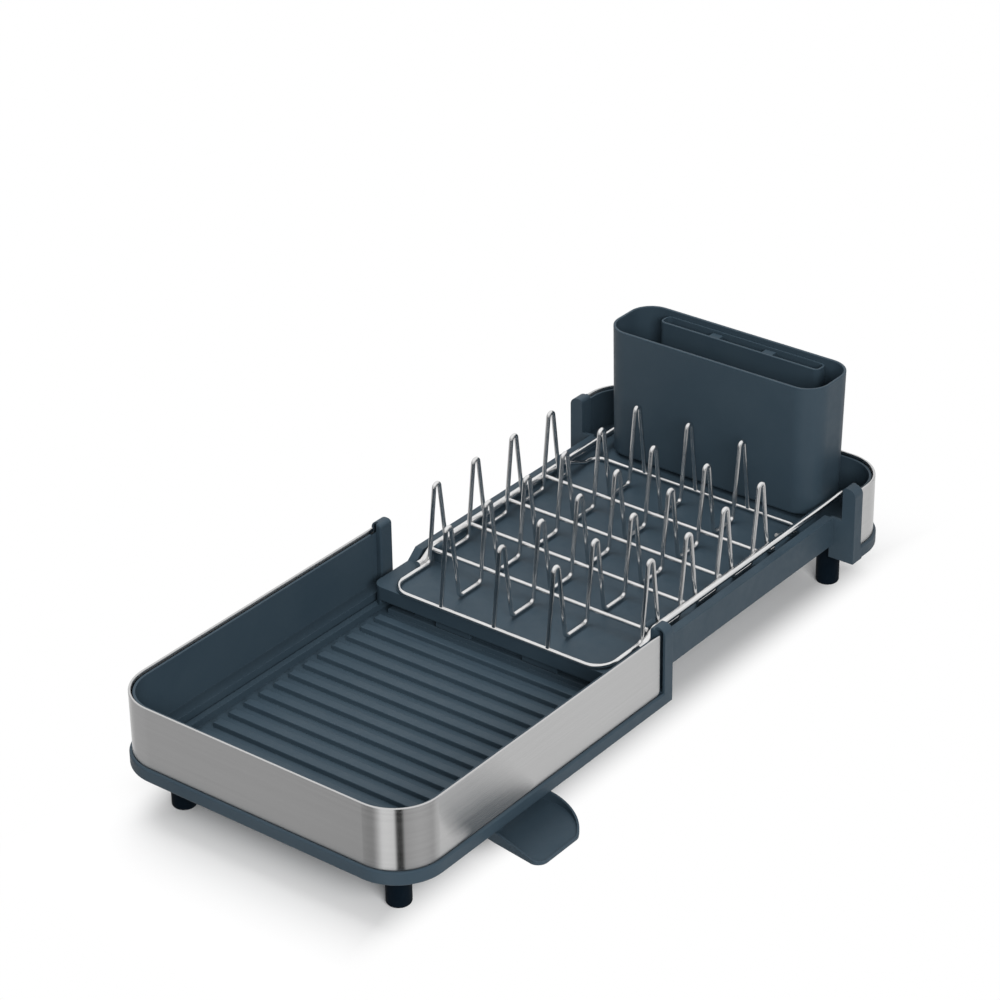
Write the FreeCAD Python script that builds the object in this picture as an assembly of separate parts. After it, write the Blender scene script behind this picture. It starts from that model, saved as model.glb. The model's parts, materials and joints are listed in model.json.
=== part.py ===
import FreeCAD
import Part
import math
import os

os.makedirs("parts", exist_ok=True)

# Expandable dish rack, in millimetres. X runs along the rack from the draining tray to the cutlery
# end, Y across it and Z up from the worktop. Y is negative on the side of the drain spout.

# Overall plan
TRAY_WIDTH = 252.0
FRONT_LENGTH = 282.3
PULLED_OUT_GAP = 226.0
END_CAP_LENGTH = 56.7
CORNER_RADIUS = 36.0

# Heights above the worktop
SKIRT_BOTTOM_Z = 35.4
SKIRT_HEIGHT = 10.2
BAND_EXPOSED_HEIGHT = 45.65
RACK_FLOOR_Z = 60.5

# Steel band and the ledge it stands on
BAND_INSET = 2.2
BAND_THICKNESS = 1.0
BAND_GROOVE_DEPTH = 1.0
BAND_GROOVE_CLEARANCE = 0.3
HEM_EXTRA = 0.8
HEM_HEIGHT = 3.0
HEM_ROUND = 0.8
BAND_CORNER_CUT = 4.0
BAND_RETURN = 1.2

# Moulded shells
SKIRT_WALL = 2.6
SKIRT_EDGE_ROUND = 1.6
INNER_WALL_GAP = 1.8
INNER_WALL = 1.8
INNER_WALL_DROP = 2.2
FLOOR_THICKNESS = 2.6
FLOOR_LIFT = 2.0
LEDGE_THICKNESS = 2.6
PAD_WIDTH = 3.0
PAD_DROP = 3.0
SIDE_PAD_SPACES = 4
END_PAD_SPACING = 63.0

# Arched posts at the open ends
FRONT_POST_LENGTH = 9.0
REAR_POST_LENGTH = 10.0
FRONT_BAND_END_GAP = 2.8
REAR_BAND_END_GAP = 0.3
FRONT_WALL_SETBACK = 17.3
REAR_WALL_SETBACK = 14.7
LEG_LENGTH = 12.0
LEG_GAP = 3.5
LEG_THICKNESS = 4.0
LEG_ROUND = 1.5
ARCH_RISE = 4.0
ARCH_OUTER_RADIUS = 6.0
ARCH_INNER_RADIUS = 3.0
POST_WALL = 1.9
POST_HOLLOW_ROUND = 2.3

# Draining floor
RIB_COUNT = 15
RIB_PITCH = 15.2
RIB_WIDTH = 6.4
RIB_HEIGHT = 3.5
RIB_DRAFT = 0.7
RIB_START_X = 39.8
RIB_END_MARGIN = 12.0
GUIDE_LEDGE_HEIGHT = 10.0
GUIDE_START_X = 24.0
SLIDE_CLEARANCE = 0.3
GUIDE_CLEARANCE = 1.5
RUNNER_WIDTH = 5.0
RUNNER_HEIGHT = 5.2
STOP_BAR_WIDTH = 5.0
STOP_BAR_HEIGHT = 6.5
STOP_BAR_LENGTH = 150.0
STOP_LUG_WIDTH = 4.0
STOP_LUG_LENGTH = 60.0
STOP_LUG_OVERLAP = 2.0
DRAIN_HOLE_RADIUS = 6.0
DRAIN_DISH_RADIUS = 13.0
DRAIN_DISH_DEPTH = 1.0
DRAIN_HOLE_DX = 22.0
DRAIN_HOLE_DY = 6.0

# Feet
FOOT_INSET_X = 33.65
FOOT_INSET_Y = 34.9
FOOT_RADIUS = 8.6
FOOT_SLEEVE_WALL = 2.4
FOOT_SOLE = 9.0
FOOT_FIT = 0.05
FOOT_ROUND = 2.2

# Rear sliding tray
REAR_OVERLAP = 32.3
REAR_SIDE_ROOM = 7.5
REAR_WALL = 2.4
REAR_LEDGE_Z = 68.0
REAR_LEDGE_WIDTH = 7.0
REAR_RAMP_START = 40.0
REAR_RAMP_LENGTH = 9.0
REAR_LIP_DEPTH = 10.5
REAR_FRONT_RADIUS = 8.0
CAP_END_WALL = 3.0
CLIP_LENGTH = 10.2
CLIP_OFFSET_X = 1.5
CLIP_THICKNESS = 4.2
CLIP_HEIGHT = 13.0
CLIP_CLEARANCE = 0.4
CLIP_ROUND = 2.0

# Drain spout
SPOUT_PIVOT_X = 103.0
SPOUT_PIVOT_INSET_Y = 14.0
SPOUT_DROP = 0.5
SPOUT_DEPTH = 8.6
SPOUT_WALL = 1.5
SPOUT_SOLE = 1.8
SPOUT_RADIUS = 44.4
SPOUT_CENTRE_DX = 1.0
SPOUT_CENTRE_DY = 13.0
SPOUT_TIP_OUT = 40.2
SPOUT_ROOT_IN = 27.0
SPOUT_LEFT_LEAN = 10.8
SPOUT_LEFT_OFFSET = 10.4
SPOUT_TIP_DROP = 4.6
SPOUT_TIP_RISE = 2.2
SPOUT_CORNER = 7.0
SPOUT_ROOT_CORNER = 3.0
HUB_RADIUS = 7.5
BOSS_RADIUS = 4.0
BOSS_RUNNING_FIT = 0.08
SCREW_SHANK_RADIUS = 1.5
SCREW_HEAD_RADIUS = 6.0
SCREW_HEAD_HEIGHT = 2.2
SCREW_HEAD_CLEARANCE = 0.3
SCREW_SHANK_LENGTH = 8.0
SCREW_RECESS_LENGTH = 5.0
SCREW_RECESS_WIDTH = 1.0
SCREW_RECESS_DEPTH = 1.2

# Wire rack
RAIL_RADIUS = 2.5
WIRE_RADIUS = 1.6
WELD_BITE = 0.2
ROW_SIDE_MARGIN = 16.2
ROW_HALF_COUNT = 2
PRONG_COUNT = 6
SIDE_PRONG_COUNT = 4
PRONG_PITCH = 44.4
PRONG_BASE = 20.0
PRONG_TOP_Z = 121.5
PRONG_APEX_Z = 141.6
PRONG_TOP_RADIUS = 2.86
PRONG_FOOT_RADIUS = 4.0
RACK_FRONT_OVERHANG = 1.4
RACK_LIFT = 0.3
FRONT_LOOP_RADIUS = 15.0
BACK_WIRE_RADIUS = 10.0
BACK_WIRE_LOW_RUN = 12.5
BACK_WIRE_RISE_RUN = 20.0
BACK_WIRE_RISE_RADIUS = 8.0
RAIL_Z_ABOVE_FLOOR = 10.0
RAIL_FRONT_START = 42.0
RAIL_RAMP = 12.0
RAIL_REAR_BEYOND_FACE = 38.0
RAIL_BEND_RADIUS = 7.0
CROSS_WIRE_RAISE = 8.8
CROSS_WIRE_COUNT = 4

# Cutlery holder and knife sleeve
HOLDER_DEPTH = 54.0
HOLDER_WIDTH = 185.0
HOLDER_RADIUS = 19.0
HOLDER_TOP_Z = 165.0
HOLDER_FOOT = 2.0
HOLDER_FOOT_RADIUS = 4.0
HOLDER_LIFT = 0.3
HOLDER_WALL = 2.0
HOLDER_SOLE = 2.4
HOLDER_DRAFT = 2.2
HOLDER_BACK_GAP = 2.3
HOLDER_DIVIDER = 1.8
HOLDER_DIVIDER_DROP = 30.0
HOLDER_SLOT_WIDTH = 3.4
HOLDER_SLOT_COUNT = 9
HOLDER_SLOT_MARGIN = 7.0
SLEEVE_DEPTH = 12.6
SLEEVE_WIDTH = 139.0
SLEEVE_WALL = 1.5
SLEEVE_TOP_DROP = 4.0
SLEEVE_RADIUS = 4.5
SLEEVE_GAP = 0.6
SLEEVE_SOLE = 2.0
SLEEVE_BRIDGE = 9.0
SLEEVE_DRAIN_RADIUS = 2.5

# Derived levels and lines
HALF = TRAY_WIDTH / 2
SKIRT_TOP_Z = SKIRT_BOTTOM_Z + SKIRT_HEIGHT
BAND_TOP_Z = SKIRT_TOP_Z + BAND_EXPOSED_HEIGHT
BAND_BOTTOM_Z = SKIRT_TOP_Z - BAND_GROOVE_DEPTH
WALL_TOP_Z = BAND_TOP_Z - INNER_WALL_DROP
ARCH_TOP_Z = BAND_TOP_Z + ARCH_RISE
FLOOR_UNDER_Z = SKIRT_BOTTOM_Z + FLOOR_LIFT
FLOOR_TOP_Z = FLOOR_UNDER_Z + FLOOR_THICKNESS
CAP_FACE_X = FRONT_LENGTH + PULLED_OUT_GAP
OVERALL_LENGTH = CAP_FACE_X + END_CAP_LENGTH
BAND_IN = BAND_INSET + BAND_THICKNESS
WALL_OUT = BAND_IN + INNER_WALL_GAP
WALL_IN = WALL_OUT + INNER_WALL
LEG_OUTER_Y = HALF - BAND_IN - LEG_GAP
INNER_LEG_Y = LEG_OUTER_Y - LEG_THICKNESS
REAR_HALF_WIDTH = INNER_LEG_Y - REAR_SIDE_ROOM
REAR_FRONT_X = FRONT_LENGTH - REAR_OVERLAP
REAR_FLOOR_UNDER_Z = RACK_FLOOR_Z - REAR_WALL
REAR_WALL_BOTTOM_Z = FLOOR_TOP_Z + RUNNER_HEIGHT + SLIDE_CLEARANCE
REAR_LEDGE_Y = REAR_HALF_WIDTH - REAR_LEDGE_WIDTH
STOP_LUG_X = REAR_FRONT_X + REAR_WALL
STOP_BAR_X = STOP_LUG_X + STOP_LUG_WIDTH
PIVOT_Y = -(HALF - SPOUT_PIVOT_INSET_Y)
SPOUT_TOP_Z = SKIRT_BOTTOM_Z - SPOUT_DROP
SPOUT_BOTTOM_Z = SPOUT_TOP_Z - SPOUT_DEPTH
FOOT_Y = HALF - FOOT_INSET_Y
STUB_RADIUS = FOOT_RADIUS - FOOT_SLEEVE_WALL
BASE_WIRE_Z = RACK_FLOOR_Z + RACK_LIFT + WIRE_RADIUS
RACK_FRONT_X = REAR_FRONT_X - RACK_FRONT_OVERHANG + WIRE_RADIUS
RACK_LENGTH = PRONG_PITCH * (PRONG_COUNT - 1) + PRONG_BASE
RACK_BACK_X = RACK_FRONT_X + RACK_LENGTH
SIDE_ROW_Y = REAR_HALF_WIDTH - ROW_SIDE_MARGIN
ROW_PITCH = SIDE_ROW_Y / ROW_HALF_COUNT
RAIL_Y = SIDE_ROW_Y + RAIL_RADIUS + WIRE_RADIUS - WELD_BITE
RAIL_Z = RACK_FLOOR_Z + RAIL_Z_ABOVE_FLOOR
HOLDER_BOTTOM_Z = RACK_FLOOR_Z + HOLDER_LIFT + HOLDER_FOOT
SPOUT_TIP_Y = PIVOT_Y - SPOUT_CENTRE_DY - SPOUT_TIP_OUT
TOUCH = 0.5

# A cut reaches this far past the faces it goes through, and two positions closer than the
# slack count as one.
PAST = 1.0
SLACK = 1e-6

# The frame's origin is at the middle of the overall base
ORIGIN_X = OVERALL_LENGTH / 2
ORIGIN_Y = (SPOUT_TIP_Y + HALF) / 2


def vec(x, y, z):
    return FreeCAD.Vector(x, y, z)


def box(x0, x1, y0, y1, z0, z1):
    return Part.makeBox(x1 - x0, y1 - y0, z1 - z0, vec(x0, y0, z0))


def cylinder(x, y, z0, z1, radius):
    return Part.makeCylinder(radius, z1 - z0, vec(x, y, z0))


def mirrored(shape):
    return shape.mirror(vec(0, 0, 0), vec(0, 1, 0))


def plan_solid(x0, x1, half_y, front_radius, rear_radius, z0, z1):
    """Slab whose front and rear corners are rounded in plan."""
    slab = box(x0, x1, -half_y, half_y, z0, z1)
    for radius, corner_x in ((front_radius, x0), (rear_radius, x1)):
        if radius > 0:
            edges = [e for e in slab.Edges
                     if abs(e.BoundBox.XMin - corner_x) < SLACK
                     and abs(e.BoundBox.XMax - corner_x) < SLACK
                     and e.BoundBox.ZLength > SLACK]
            slab = slab.makeFillet(radius, edges)
    return slab


def front_plan(offset, z0, z1, end_x=FRONT_LENGTH):
    """Front tray outline, drawn in by an offset from the skirt's outer face."""
    return plan_solid(offset, end_x, HALF - offset, CORNER_RADIUS - offset, 0, z0, z1)


def rear_plan(offset, z0, z1, start_x=CAP_FACE_X):
    """Rear end cap outline, drawn in by an offset from the skirt's outer face."""
    return plan_solid(start_x, OVERALL_LENGTH - offset, HALF - offset, 0, CORNER_RADIUS - offset, z0, z1)


def ring(plan, outer_offset, inner_offset, z0, z1):
    return plan(outer_offset, z0, z1).cut(plan(inner_offset, z0, z1))


def horizontal_edges(solid, z):
    """Edges that lie level at one height."""
    return [e for e in solid.Edges
            if abs(e.BoundBox.ZMin - z) < SLACK and abs(e.BoundBox.ZMax - z) < SLACK]


def skirt(plan, end_plane_x):
    """Outer skirt with its ledge, the band's groove and the tall inner wall."""
    body = plan(0, SKIRT_BOTTOM_Z, SKIRT_TOP_Z)
    for z in (SKIRT_BOTTOM_Z, SKIRT_TOP_Z):
        rounded = [e for e in horizontal_edges(body, z)
                   if not (abs(e.BoundBox.XMin - end_plane_x) < SLACK
                           and abs(e.BoundBox.XMax - end_plane_x) < SLACK)]
        body = body.makeFillet(SKIRT_EDGE_ROUND, rounded)
    body = body.cut(plan(WALL_IN, SKIRT_BOTTOM_Z - PAST, SKIRT_TOP_Z + PAST))
    body = body.cut(ring(plan, SKIRT_WALL, WALL_OUT, SKIRT_BOTTOM_Z - PAST, SKIRT_TOP_Z - LEDGE_THICKNESS))
    body = body.cut(ring(plan, BAND_INSET - BAND_GROOVE_CLEARANCE, BAND_IN + BAND_GROOVE_CLEARANCE,
                         BAND_BOTTOM_Z, SKIRT_TOP_Z + PAST))
    return body.fuse(ring(plan, WALL_OUT, WALL_IN, SKIRT_TOP_Z - TOUCH, WALL_TOP_Z))


def arch_profile(y_inner, z_foot):
    """Closed outline of an arched post in the YZ plane, on the side of positive Y."""
    top = ARCH_TOP_Z
    outer_r = ARCH_OUTER_RADIUS
    inner_r = ARCH_INNER_RADIUS
    diagonal = math.sqrt(0.5)
    foot_outer = vec(0, HALF, z_foot)
    outer_start = vec(0, HALF, top - outer_r)
    outer_mid = vec(0, HALF - outer_r * (1 - diagonal), top - outer_r * (1 - diagonal))
    outer_end = vec(0, HALF - outer_r, top)
    inner_start = vec(0, y_inner + inner_r, top)
    inner_mid = vec(0, y_inner + inner_r * (1 - diagonal), top - inner_r * (1 - diagonal))
    inner_end = vec(0, y_inner, top - inner_r)
    foot_inner = vec(0, y_inner, z_foot)
    edges = [Part.makeLine(foot_outer, outer_start), Part.Arc(outer_start, outer_mid, outer_end).toShape(),
             Part.makeLine(outer_end, inner_start), Part.Arc(inner_start, inner_mid, inner_end).toShape(),
             Part.makeLine(inner_end, foot_inner), Part.makeLine(foot_inner, foot_outer)]
    return Part.Face(Part.Wire(edges))


def span_box(x_a, x_b, y0, y1, z0, z1):
    """Box between two X values given in either order."""
    return box(min(x_a, x_b), max(x_a, x_b), y0, y1, z0, z1)


def arched_post(end_x, toward, post_length, z_foot):
    """Thin-walled arched post at an open end: outer post, arch over the band's line, inner leg."""
    near = end_x + toward * post_length
    far = end_x + toward * LEG_LENGTH
    whole = arch_profile(INNER_LEG_Y, z_foot).extrude(vec(LEG_LENGTH, 0, 0))
    whole.translate(vec(min(end_x, far), 0, 0))
    window = span_box(near, far, LEG_OUTER_Y, HALF + PAST, BAND_BOTTOM_Z, ARCH_TOP_Z + PAST)
    pocket = span_box(end_x + toward * POST_WALL, far, LEG_OUTER_Y, HALF - POST_WALL, SKIRT_TOP_Z,
                      ARCH_TOP_Z - POST_WALL)
    pocket_roof = [e for e in horizontal_edges(pocket, ARCH_TOP_Z - POST_WALL) if e.BoundBox.YLength < SLACK]
    pocket = pocket.makeFillet(POST_HOLLOW_ROUND, pocket_roof)
    post = whole.cut(window)
    leg_shoulder = [e for e in horizontal_edges(post, ARCH_TOP_Z)
                    if abs(e.BoundBox.XMin - far) < SLACK and abs(e.BoundBox.XMax - far) < SLACK]
    return post.makeFillet(LEG_ROUND, leg_shoulder).cut(pocket)


def post_clearance(end_x, toward, setback):
    """Room that the inner wall leaves for the posts on both sides."""
    far = end_x + toward * setback
    rooms = []
    for side in (-1, 1):
        y_a = side * LEG_OUTER_Y
        y_b = side * (HALF + PAST)
        rooms.append(span_box(end_x - toward, far, min(y_a, y_b), max(y_a, y_b), SKIRT_TOP_Z,
                              ARCH_TOP_Z + PAST))
    return Part.makeCompound(rooms)


def steel_band(plan, end_x, toward, setback):
    """Flat strip bent round the tray, hemmed along the top, with short returns at its two ends."""
    hem = ring(plan, BAND_INSET, BAND_IN + HEM_EXTRA, BAND_TOP_Z - HEM_HEIGHT, BAND_TOP_Z)
    rim = [e for e in horizontal_edges(hem, BAND_TOP_Z)
           if not (abs(e.BoundBox.XMin - end_x) < SLACK and abs(e.BoundBox.XMax - end_x) < SLACK)]
    hem = hem.makeFillet(HEM_ROUND, rim)
    strip = ring(plan, BAND_INSET, BAND_IN, BAND_BOTTOM_Z, BAND_TOP_Z - HEM_HEIGHT + TOUCH).fuse(hem)
    trim_x = end_x + toward * setback
    beyond = end_x - toward * TOUCH
    strip = strip.cut(span_box(trim_x, beyond, -HALF, HALF, BAND_BOTTOM_Z - PAST, BAND_TOP_Z + PAST))
    inner = trim_x + toward * BAND_THICKNESS
    for side in (-1, 1):
        y_face = side * (HALF - BAND_IN)
        y_return = y_face - side * BAND_RETURN
        strip = strip.fuse(span_box(trim_x, inner, min(y_face + side * TOUCH, y_return),
                                    max(y_face + side * TOUCH, y_return), SKIRT_TOP_Z + BAND_CORNER_CUT,
                                    BAND_TOP_Z - HEM_HEIGHT))
        axis_x = trim_x + toward * BAND_CORNER_CUT
        corner = span_box(trim_x, axis_x, min(y_face - side, side * HALF),
                          max(y_face - side, side * HALF), BAND_BOTTOM_Z - PAST,
                          SKIRT_TOP_Z + BAND_CORNER_CUT)
        keep = Part.makeCylinder(BAND_CORNER_CUT, 2 * HALF, vec(axis_x, -HALF, SKIRT_TOP_Z + BAND_CORNER_CUT),
                                 vec(0, 1, 0))
        strip = strip.cut(corner.cut(keep))
    return strip.removeSplitter()


def locating_pads():
    """Small upright pads on the front tray's side walls that the band's inner face lies against."""
    pads = []
    spacing = (FRONT_LENGTH - 2 * CORNER_RADIUS) / SIDE_PAD_SPACES
    for step in range(1, SIDE_PAD_SPACES):
        x = CORNER_RADIUS + spacing * step
        for side in (-1, 1):
            y0 = side * (HALF - WALL_OUT - TOUCH)
            y1 = side * (HALF - BAND_IN)
            pads.append(box(x, x + PAD_WIDTH, min(y0, y1), max(y0, y1), SKIRT_TOP_Z - TOUCH,
                            BAND_TOP_Z - HEM_HEIGHT - PAD_DROP))
    return pads


def end_pads(face_x, toward):
    """Pads on the wall across the tray's closed end."""
    pads = []
    for step in (-1, 0, 1):
        y = step * END_PAD_SPACING
        x0 = face_x + toward * BAND_IN
        x1 = face_x + toward * (WALL_OUT + TOUCH)
        pads.append(box(min(x0, x1), max(x0, x1), y - PAD_WIDTH / 2, y + PAD_WIDTH / 2, SKIRT_TOP_Z - TOUCH,
                        BAND_TOP_Z - HEM_HEIGHT - PAD_DROP))
    return pads


def foot_stub(x, y, z_top):
    return cylinder(x, y, FOOT_SOLE, z_top, STUB_RADIUS)


def foot(x, y, z_top):
    """Rubber sleeve with a closed sole."""
    body = cylinder(x, y, 0, z_top, FOOT_RADIUS)
    body = body.makeFillet(FOOT_ROUND, horizontal_edges(body, 0))
    return body.cut(cylinder(x, y, FOOT_SOLE, z_top + PAST, STUB_RADIUS + FOOT_FIT))


def drainage_ribs():
    """Low ribs across the draining floor, drafted like a moulding."""
    ribs = []
    half_length = REAR_HALF_WIDTH - RIB_END_MARGIN
    for index in range(RIB_COUNT):
        x0 = RIB_START_X + index * RIB_PITCH
        x1 = x0 + RIB_WIDTH
        z0 = FLOOR_TOP_Z - TOUCH
        z1 = FLOOR_TOP_Z + RIB_HEIGHT
        outline = Part.makePolygon([vec(x0 - RIB_DRAFT, 0, z0), vec(x1 + RIB_DRAFT, 0, z0), vec(x1, 0, z1),
                                    vec(x0, 0, z1), vec(x0 - RIB_DRAFT, 0, z0)])
        rib = Part.Face(outline).extrude(vec(0, 2 * half_length, 0))
        rib.translate(vec(0, -half_length, 0))
        ribs.append(rib.makeFillet(RIB_DRAFT, horizontal_edges(rib, z1)))
    return ribs


def make_front_tray():
    body = skirt(front_plan, FRONT_LENGTH).cut(post_clearance(FRONT_LENGTH, -1, FRONT_WALL_SETBACK))
    floor = front_plan(WALL_OUT + TOUCH, FLOOR_UNDER_Z, FLOOR_TOP_Z)
    drop_lip = box(FRONT_LENGTH - FLOOR_THICKNESS, FRONT_LENGTH, -(HALF - SKIRT_WALL - TOUCH),
                   HALF - SKIRT_WALL - TOUCH, SKIRT_BOTTOM_Z, FLOOR_UNDER_Z + TOUCH)
    pieces = [floor, drop_lip] + locating_pads() + end_pads(0, 1)
    inner_face = HALF - WALL_IN
    for side in (-1, 1):
        guide_y = side * (REAR_HALF_WIDTH + GUIDE_CLEARANCE)
        wall_y = side * (inner_face + TOUCH)
        pieces.append(box(GUIDE_START_X, FRONT_LENGTH, min(guide_y, wall_y), max(guide_y, wall_y),
                          FLOOR_TOP_Z - TOUCH, FLOOR_TOP_Z + GUIDE_LEDGE_HEIGHT))
        run_in = side * (REAR_HALF_WIDTH - RUNNER_WIDTH)
        run_out = side * REAR_HALF_WIDTH
        pieces.append(box(GUIDE_START_X, FRONT_LENGTH, min(run_in, run_out), max(run_in, run_out),
                          FLOOR_TOP_Z - TOUCH, FLOOR_TOP_Z + RUNNER_HEIGHT))
        post = arched_post(FRONT_LENGTH, -1, FRONT_POST_LENGTH, FLOOR_TOP_Z - TOUCH)
        pieces.append(post if side > 0 else mirrored(post))
    pieces.append(box(STOP_BAR_X, STOP_BAR_X + STOP_BAR_WIDTH, -STOP_BAR_LENGTH / 2, STOP_BAR_LENGTH / 2,
                      FLOOR_TOP_Z - TOUCH, FLOOR_TOP_Z + STOP_BAR_HEIGHT))
    body = body.multiFuse(pieces + drainage_ribs())
    hole_x = SPOUT_PIVOT_X + DRAIN_HOLE_DX
    hole_y = PIVOT_Y + DRAIN_HOLE_DY
    dish = cylinder(hole_x, hole_y, FLOOR_TOP_Z - DRAIN_DISH_DEPTH, FLOOR_TOP_Z + RIB_HEIGHT + PAST,
                    DRAIN_DISH_RADIUS)
    hole = cylinder(hole_x, hole_y, FLOOR_UNDER_Z - PAST, FLOOR_TOP_Z + PAST, DRAIN_HOLE_RADIUS)
    body = body.cut(dish).cut(hole)
    boss = cylinder(SPOUT_PIVOT_X, PIVOT_Y, SPOUT_BOTTOM_Z + SPOUT_SOLE / 2, FLOOR_UNDER_Z + TOUCH,
                    BOSS_RADIUS)
    stubs = [foot_stub(FOOT_INSET_X, side * FOOT_Y, FLOOR_UNDER_Z + TOUCH) for side in (-1, 1)]
    body = body.multiFuse([boss] + stubs)
    bore_top = SPOUT_BOTTOM_Z + SPOUT_SOLE / 2 + SCREW_SHANK_LENGTH
    body = body.cut(cylinder(SPOUT_PIVOT_X, PIVOT_Y, SPOUT_BOTTOM_Z, bore_top, SCREW_SHANK_RADIUS))
    return body.removeSplitter()


def side_channel():
    """One sliding side of the rear tray: outer wall, flat ledge and inner step, open underneath."""
    x0 = REAR_FRONT_X
    x1 = CAP_FACE_X + TOUCH
    outer = box(x0, x1, REAR_LEDGE_Y, REAR_HALF_WIDTH, REAR_WALL_BOTTOM_Z, REAR_LEDGE_Z)
    hollow = box(x0 + REAR_WALL, x1 + PAST, REAR_LEDGE_Y + REAR_WALL, REAR_HALF_WIDTH - REAR_WALL,
                 REAR_WALL_BOTTOM_Z - PAST, REAR_FLOOR_UNDER_Z)
    under_step = box(x0 + REAR_WALL, x1 + PAST, REAR_LEDGE_Y - PAST, REAR_LEDGE_Y + REAR_WALL + TOUCH,
                     REAR_WALL_BOTTOM_Z - PAST, REAR_FLOOR_UNDER_Z)
    ramp_x = x0 + REAR_RAMP_START
    high_hollow = box(ramp_x + REAR_RAMP_LENGTH, x1 + PAST, REAR_LEDGE_Y + REAR_WALL,
                      REAR_HALF_WIDTH - REAR_WALL, REAR_FLOOR_UNDER_Z - PAST, REAR_LEDGE_Z - REAR_WALL)
    low_cut = Part.makePolygon([vec(x0 - PAST, 0, RACK_FLOOR_Z), vec(ramp_x, 0, RACK_FLOOR_Z),
                                vec(ramp_x + REAR_RAMP_LENGTH, 0, REAR_LEDGE_Z),
                                vec(ramp_x + REAR_RAMP_LENGTH, 0, REAR_LEDGE_Z + PAST),
                                vec(x0 - PAST, 0, REAR_LEDGE_Z + PAST),
                                vec(x0 - PAST, 0, RACK_FLOOR_Z)])
    low_space = Part.Face(low_cut).extrude(vec(0, HALF, 0))
    return outer.cut(hollow).cut(under_step).cut(high_hollow).cut(low_space)


def rack_clip():
    """Upright clip inside a side rail, between the feet of the side row's first prong."""
    middle_x = RACK_FRONT_X + PRONG_PITCH + PRONG_BASE / 2 + CLIP_OFFSET_X
    outer_y = RAIL_Y - RAIL_RADIUS - CLIP_CLEARANCE
    clip = box(middle_x - CLIP_LENGTH / 2, middle_x + CLIP_LENGTH / 2, outer_y - CLIP_THICKNESS, outer_y,
               RACK_FLOOR_Z - TOUCH, RACK_FLOOR_Z + CLIP_HEIGHT)
    return clip.makeFillet(CLIP_ROUND, horizontal_edges(clip, RACK_FLOOR_Z + CLIP_HEIGHT))


def make_rear_tray():
    body = skirt(rear_plan, CAP_FACE_X).cut(post_clearance(CAP_FACE_X, 1, REAR_WALL_SETBACK))
    cap_floor = rear_plan(WALL_OUT + TOUCH, REAR_FLOOR_UNDER_Z, RACK_FLOOR_Z)
    long_floor = box(REAR_FRONT_X, CAP_FACE_X + TOUCH, -(REAR_LEDGE_Y + TOUCH), REAR_LEDGE_Y + TOUCH,
                     REAR_FLOOR_UNDER_Z, RACK_FLOOR_Z)
    lip = box(REAR_FRONT_X, REAR_FRONT_X + REAR_WALL, -REAR_HALF_WIDTH, REAR_HALF_WIDTH,
              RACK_FLOOR_Z - REAR_LIP_DEPTH, RACK_FLOOR_Z)
    pieces = [cap_floor, long_floor, lip] + end_pads(OVERALL_LENGTH, -1)
    channel = side_channel()
    clip = rack_clip()
    inner_face = HALF - WALL_IN
    for side in (-1, 1):
        pieces.append(channel if side > 0 else mirrored(channel))
        pieces.append(clip if side > 0 else mirrored(clip))
        post = arched_post(CAP_FACE_X, 1, REAR_POST_LENGTH, SKIRT_BOTTOM_Z)
        end_wall_y0 = side * (REAR_HALF_WIDTH - REAR_WALL)
        end_wall_y1 = side * (inner_face + TOUCH)
        end_wall = box(CAP_FACE_X, CAP_FACE_X + CAP_END_WALL, min(end_wall_y0, end_wall_y1),
                       max(end_wall_y0, end_wall_y1), SKIRT_BOTTOM_Z, REAR_LEDGE_Z)
        pieces.extend([post if side > 0 else mirrored(post), end_wall])
        lug_y = side * STOP_BAR_LENGTH / 4
        pieces.append(box(STOP_LUG_X - TOUCH, STOP_LUG_X + STOP_LUG_WIDTH - SLIDE_CLEARANCE,
                          lug_y - STOP_LUG_LENGTH / 4, lug_y + STOP_LUG_LENGTH / 4,
                          FLOOR_TOP_Z + STOP_BAR_HEIGHT - STOP_LUG_OVERLAP, REAR_FLOOR_UNDER_Z + TOUCH))
        pieces.append(foot_stub(OVERALL_LENGTH - FOOT_INSET_X, side * FOOT_Y, REAR_FLOOR_UNDER_Z + TOUCH))
    body = body.multiFuse(pieces)
    for side in (-1, 1):
        corner = box(REAR_FRONT_X - PAST, REAR_FRONT_X + REAR_FRONT_RADIUS,
                     min(side * (REAR_HALF_WIDTH - REAR_FRONT_RADIUS), side * (REAR_HALF_WIDTH + PAST)),
                     max(side * (REAR_HALF_WIDTH - REAR_FRONT_RADIUS), side * (REAR_HALF_WIDTH + PAST)),
                     REAR_WALL_BOTTOM_Z - PAST, REAR_LEDGE_Z + PAST)
        keep = cylinder(REAR_FRONT_X + REAR_FRONT_RADIUS, side * (REAR_HALF_WIDTH - REAR_FRONT_RADIUS),
                        REAR_WALL_BOTTOM_Z - 2, REAR_LEDGE_Z + 2, REAR_FRONT_RADIUS)
        body = body.cut(corner.cut(keep))
    return body.removeSplitter()


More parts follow.
